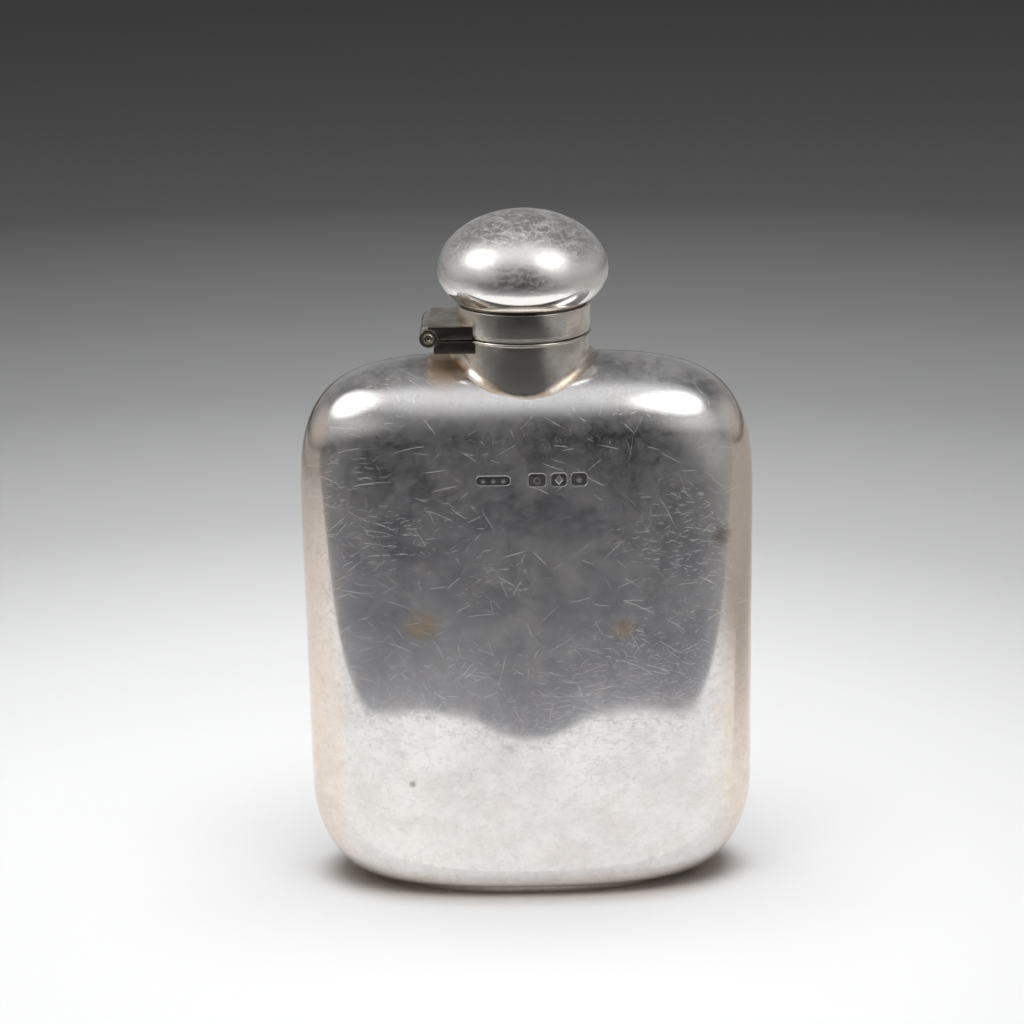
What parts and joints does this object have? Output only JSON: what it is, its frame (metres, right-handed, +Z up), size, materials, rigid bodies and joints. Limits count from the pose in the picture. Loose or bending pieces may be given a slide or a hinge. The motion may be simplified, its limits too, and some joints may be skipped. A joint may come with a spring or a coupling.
{
  "type": "hip flask",
  "caption": "Pillow-shaped silver hip flask on a low oval foot, with a short neck and a domed quarter-turn cap on a hinged collar.",
  "frame": {"origin": "centre of the foot's underside, on the neck's axis", "axes": "+Z up along the neck, -Y out of the front, +X away from the hinge"},
  "size_m": [0.083, 0.0308, 0.1275],
  "materials": {
    "body_silver": "polished silver dulled by fine scratches and light tarnish",
    "neck_silver": "polished silver with lengthwise wear and a brown bloom by the hinge",
    "collar_silver": "turned silver with fine lines round it",
    "cap_silver": "polished silver with fine swirling scratches",
    "hinge_silver": "darkened silver, bright on its edges",
    "gilt_spout": "worn silver gilt",
    "cork": "dry cork"
  },
  "bodies": {
    "flask": {"front_shell": "body_silver", "back_shell": "body_silver", "base_plate": "body_silver", "foot_rim": "body_silver", "neck_collar": "neck_silver", "neck_solder": "neck_silver", "neck_bead": "neck_silver", "spout_deck": "gilt_spout", "spout": "gilt_spout", "bayonet_studs": "body_silver", "hinge_lower_leaf": "hinge_silver", "hinge_lower_knuckles": "hinge_silver", "hinge_pin": "hinge_silver"},
    "collar": {"lid_collar": "collar_silver", "collar_ledge": "collar_silver", "hinge_upper_leaf": "hinge_silver", "hinge_upper_knuckles": "hinge_silver"},
    "cap": {"dome_top": "cap_silver", "dome_underside": "cap_silver", "lock_sleeve": "cap_silver", "retaining_ring": "cap_silver", "cork_plate": "cap_silver", "cork_disc": "cork"}
  },
  "joints": [
    {"name": "lid_hinge", "type": "hinge", "parent": "flask", "child": "collar", "pos_m": [-0.017, 0, 0.106], "axis": [0, -1, 0], "range_deg": [0, 125]},
    {"name": "cap_turn", "type": "hinge", "parent": "collar", "child": "cap", "pos_m": [0, 0, 0.113], "axis": [0, 0, -1], "range_deg": [0, 90]}
  ]
}
